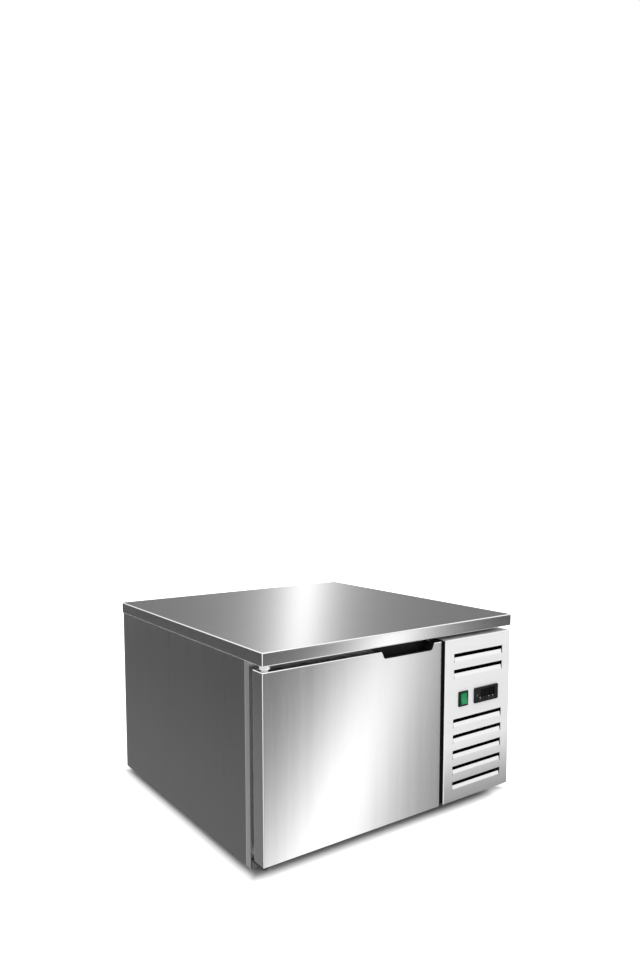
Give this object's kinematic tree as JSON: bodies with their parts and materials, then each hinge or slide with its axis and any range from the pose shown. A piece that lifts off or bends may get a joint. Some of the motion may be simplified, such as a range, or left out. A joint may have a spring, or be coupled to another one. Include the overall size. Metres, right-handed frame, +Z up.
{
  "type": "countertop blast chiller",
  "caption": "Countertop blast chiller: stainless cabinet with a side-hinged insulated door, a tray chamber, and a louvred service panel over the refrigeration unit.",
  "frame": {"origin": "on the floor under the middle of the appliance's box", "axes": "+Z up, front faces -Y, +X to the right seen from the front"},
  "size_m": [0.66, 0.6856, 0.433],
  "materials": {
    "worktop_steel": "satin",
    "door_steel": "vertical brushed grain, satin",
    "panel_steel": "satin",
    "side_steel": "satin, dark",
    "frame_steel": "satin",
    "chamber_steel": "satin",
    "guard_steel": "bright",
    "galvanised_steel": "galvanised",
    "zinc_screws": "zinc-plated",
    "bracket_steel": "dark plated",
    "core_board": "particle board",
    "foam": "rigid foam",
    "black_plastic": "fine grained",
    "control_black": "satin",
    "key_grey": "satin",
    "display_black": "smoked window",
    "rocker_green": "translucent",
    "bush_white": "smooth",
    "bush_grey": "smooth",
    "seal_grey": "soft",
    "break_grey": "smooth",
    "foot_rubber": "matt",
    "drain_white": "smooth",
    "fan_aluminium": "stamped",
    "fan_motor_black": "satin black",
    "fin_aluminium": "mill finish",
    "coil_black": "satin",
    "pipe_copper": "copper tube",
    "compressor_black": "satin black",
    "box_plastic": "moulded",
    "gland_black": "moulded"
  },
  "bodies": {
    "cabinet": {"worktop": "worktop_steel", "service_panel": "panel_steel", "left_side_panel": "side_steel", "right_side_panel": "side_steel", "front_frame": "frame_steel", "chamber_liner": "chamber_steel", "left_rack": "chamber_steel", "right_rack": "chamber_steel", "evaporator_hood": "chamber_steel", "drip_tray": "chamber_steel", "evaporator_fan_guard": "guard_steel", "back_panel": "galvanised_steel", "base_pan": "galvanised_steel", "partition_panel": "galvanised_steel", "condenser_shroud": "galvanised_steel", "panel_screws": "zinc_screws", "back_screws": "zinc_screws", "top_hinge_bracket": "bracket_steel", "bottom_hinge_bracket": "bracket_steel", "worktop_core": "core_board", "foam_insulation": "foam", "gap_strip": "black_plastic", "controller_housing": "control_black", "switch_housing": "control_black", "controller_display": "display_black", "thermal_break": "break_grey", "feet": "foot_rubber", "compressor_mounts": "foot_rubber", "drain_pipe": "drain_white", "evaporator_fan_motor": "fan_motor_black", "condenser_fan_motor": "fan_motor_black", "evaporator_fins": "fin_aluminium", "condenser_fins": "coil_black", "condenser_tubes": "coil_black", "evaporator_tubes": "pipe_copper", "discharge_pipe": "pipe_copper", "liquid_pipe": "pipe_copper", "suction_pipe": "pipe_copper", "filter_drier": "pipe_copper", "compressor": "compressor_black", "terminal_cover": "box_plastic", "electrical_box": "box_plastic", "electrical_box_lid": "box_plastic", "cable_gland": "gland_black"},
    "door": {"door_skin": "door_steel", "door_inner_pan": "chamber_steel", "door_foam": "foam", "door_handle": "black_plastic", "door_seal": "seal_grey", "top_bush": "bush_white", "bottom_bush": "bush_grey"},
    "rocker": {"power_rocker": "rocker_green"},
    "set_key": {"key_set": "key_grey"},
    "down_key": {"key_down": "key_grey"},
    "up_key": {"key_up": "key_grey"},
    "defrost_key": {"key_defrost": "key_grey"},
    "evaporator_fan": {"evaporator_fan_blades": "fan_aluminium"},
    "condenser_fan": {"condenser_fan_blades": "fan_aluminium"}
  },
  "joints": [
    {"name": "door_hinge", "type": "hinge", "parent": "cabinet", "child": "door", "pos_m": [-0.318, -0.324, 0.217], "axis": [0, 0, -1], "range_deg": [0, 105]},
    {"name": "rocker_tilt", "type": "hinge", "parent": "cabinet", "child": "rocker", "pos_m": [0.17725, -0.334, 0.263], "axis": [1, 0, 0], "range_deg": [0, 16]},
    {"name": "set_key_press", "type": "slide", "parent": "cabinet", "child": "set_key", "axis": [0, 1, 0], "range_m": [0, 0.0005], "stiffness_N_per_m": 300},
    {"name": "down_key_press", "type": "slide", "parent": "cabinet", "child": "down_key", "axis": [0, 1, 0], "range_m": [0, 0.0005], "stiffness_N_per_m": 300},
    {"name": "up_key_press", "type": "slide", "parent": "cabinet", "child": "up_key", "axis": [0, 1, 0], "range_m": [0, 0.0005], "stiffness_N_per_m": 300},
    {"name": "defrost_key_press", "type": "slide", "parent": "cabinet", "child": "defrost_key", "axis": [0, 1, 0], "range_m": [0, 0.0005], "stiffness_N_per_m": 300},
    {"name": "evaporator_fan_spin", "type": "hinge", "parent": "cabinet", "child": "evaporator_fan", "pos_m": [-0.11, 0.175, 0.217], "axis": [0, 1, 0], "continuous": true},
    {"name": "condenser_fan_spin", "type": "hinge", "parent": "cabinet", "child": "condenser_fan", "pos_m": [0.219, -0.155, 0.1784], "axis": [0, 1, 0], "continuous": true}
  ]
}
